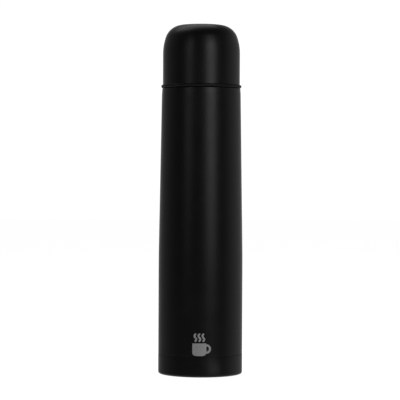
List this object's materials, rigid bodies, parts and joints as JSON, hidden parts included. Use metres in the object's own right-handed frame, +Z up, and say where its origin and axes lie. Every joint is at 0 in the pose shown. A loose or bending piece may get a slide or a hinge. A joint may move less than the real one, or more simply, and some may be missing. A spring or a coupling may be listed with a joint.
{
  "type": "vacuum flask",
  "caption": "Tall black insulated flask with a domed screw-on drinking cup, screwed push-button stopper and steel double wall.",
  "frame": {"origin": "centre of the standing face, on the floor", "axes": "+Z up along the flask's axis; the spout and the etched mark face -Y; +X to the right seen from the front"},
  "size_m": [0.08, 0.08, 0.3318],
  "materials": {
    "paint": "black satin powder coat with a fine texture",
    "steel": "electropolished and brushed stainless steel",
    "spring_steel": "drawn stainless spring wire",
    "black_plastic": "black moulded polypropylene, finely textured",
    "white_plastic": "natural acetal, smooth",
    "silicone": "translucent grey silicone",
    "foam": "closed-cell insulating foam",
    "foil": "bright aluminium foil",
    "getter": "sintered dark pellet",
    "solder_glass": "grey solder glass"
  },
  "bodies": {
    "flask": {"outer_shell": "paint", "outer_bottom": "steel", "base_cap": "paint", "inner_bottle": "steel", "inner_bottom": "steel", "radiation_foil": "foil", "getter_clip": "steel", "getter_pill": "getter", "vacuum_seal": "solder_glass"},
    "gasket": {"stopper_gasket": "silicone"},
    "stopper": {"stopper_body": "black_plastic", "stopper_foam": "foam", "stopper_cover": "black_plastic", "guide_sleeve": "white_plastic"},
    "button": {"push_button": "black_plastic", "latch_rotor": "white_plastic", "valve_rod": "white_plastic", "valve_disc": "black_plastic", "valve_seal": "silicone", "valve_spring": "spring_steel"},
    "cup_carrier": {"cup_insulation": "foam"},
    "cup": {"cup_shell": "paint", "cup_liner": "black_plastic"}
  },
  "joints": [
    {"name": "stopper_rise", "type": "slide", "parent": "flask", "child": "gasket", "axis": [0, 0, 1], "range_m": [0, 0.048]},
    {"name": "stopper_turn", "type": "hinge", "parent": "gasket", "child": "stopper", "pos_m": [0, 0, 0.28], "axis": [0, 0, 1], "range_deg": [0, 2160]},
    {"name": "cup_rise", "type": "slide", "parent": "stopper", "child": "cup_carrier", "axis": [0, 0, 1], "range_m": [0, 0.048]},
    {"name": "cup_turn", "type": "hinge", "parent": "cup_carrier", "child": "cup", "pos_m": [0, 0, 0.28], "axis": [0, 0, 1], "range_deg": [0, 2160]},
    {"name": "button_press", "type": "slide", "parent": "stopper", "child": "button", "axis": [0, 0, -1], "range_m": [0, 0.004], "stiffness_N_per_m": 1500, "springref_m": -0.003, "deforming": ["valve_spring"]}
  ],
  "couplings": [
    {"joint": "stopper_rise", "follows": "stopper_turn", "m_per_rad": 0.0012732},
    {"joint": "cup_rise", "follows": "cup_turn", "m_per_rad": 0.0012732}
  ]
}
